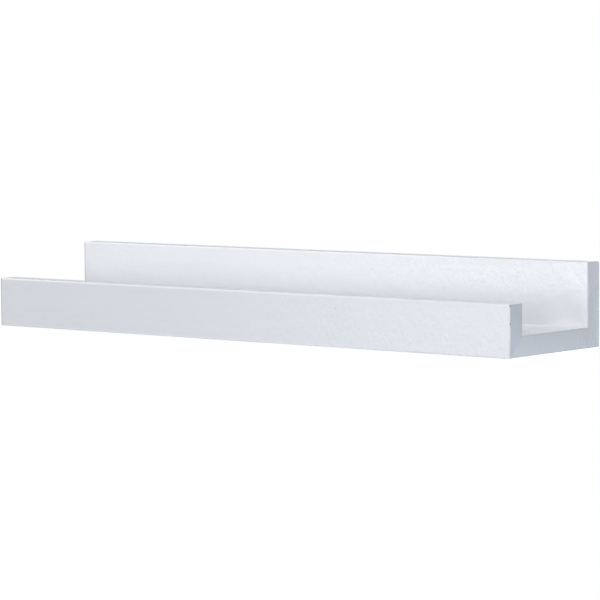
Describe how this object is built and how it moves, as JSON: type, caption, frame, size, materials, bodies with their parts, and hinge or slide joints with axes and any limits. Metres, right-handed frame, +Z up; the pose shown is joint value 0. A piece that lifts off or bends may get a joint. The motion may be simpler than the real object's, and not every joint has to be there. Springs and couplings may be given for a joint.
{
  "type": "floating wall shelf",
  "caption": "Floating picture-ledge shelf: tall back board, base and low front lip of one thickness, mitred together and hung on keyhole plates let into the rear face.",
  "frame": {"origin": "on the plane of the rear face that lies against the wall, at mid-length, level with the seats of the two keyhole hangers", "axes": "+X along the shelf to the viewer's right, +Y to the wall, +Z up"},
  "size_m": [0.61, 0.14, 0.077],
  "materials": {
    "white_lacquer": "satin white lacquer sprayed on medium-density fibreboard",
    "pressed_beech": "raw compressed beech",
    "zinc_plate": "bright zinc plating on pressed steel",
    "plated_screw": "yellow zinc plating on steel"
  },
  "bodies": {
    "root": {"back_board": "white_lacquer", "base_board": "white_lacquer", "front_lip": "white_lacquer", "front_mitre_biscuit_1": "pressed_beech", "front_mitre_biscuit_2": "pressed_beech", "front_mitre_biscuit_3": "pressed_beech", "front_mitre_biscuit_4": "pressed_beech", "rear_mitre_biscuit_1": "pressed_beech", "rear_mitre_biscuit_2": "pressed_beech", "rear_mitre_biscuit_3": "pressed_beech", "rear_mitre_biscuit_4": "pressed_beech", "left_keyhole_plate": "zinc_plate", "right_keyhole_plate": "zinc_plate", "left_plate_screw_upper": "plated_screw", "left_plate_screw_lower": "plated_screw", "right_plate_screw_upper": "plated_screw", "right_plate_screw_lower": "plated_screw"}
  },
  "joints": []
}
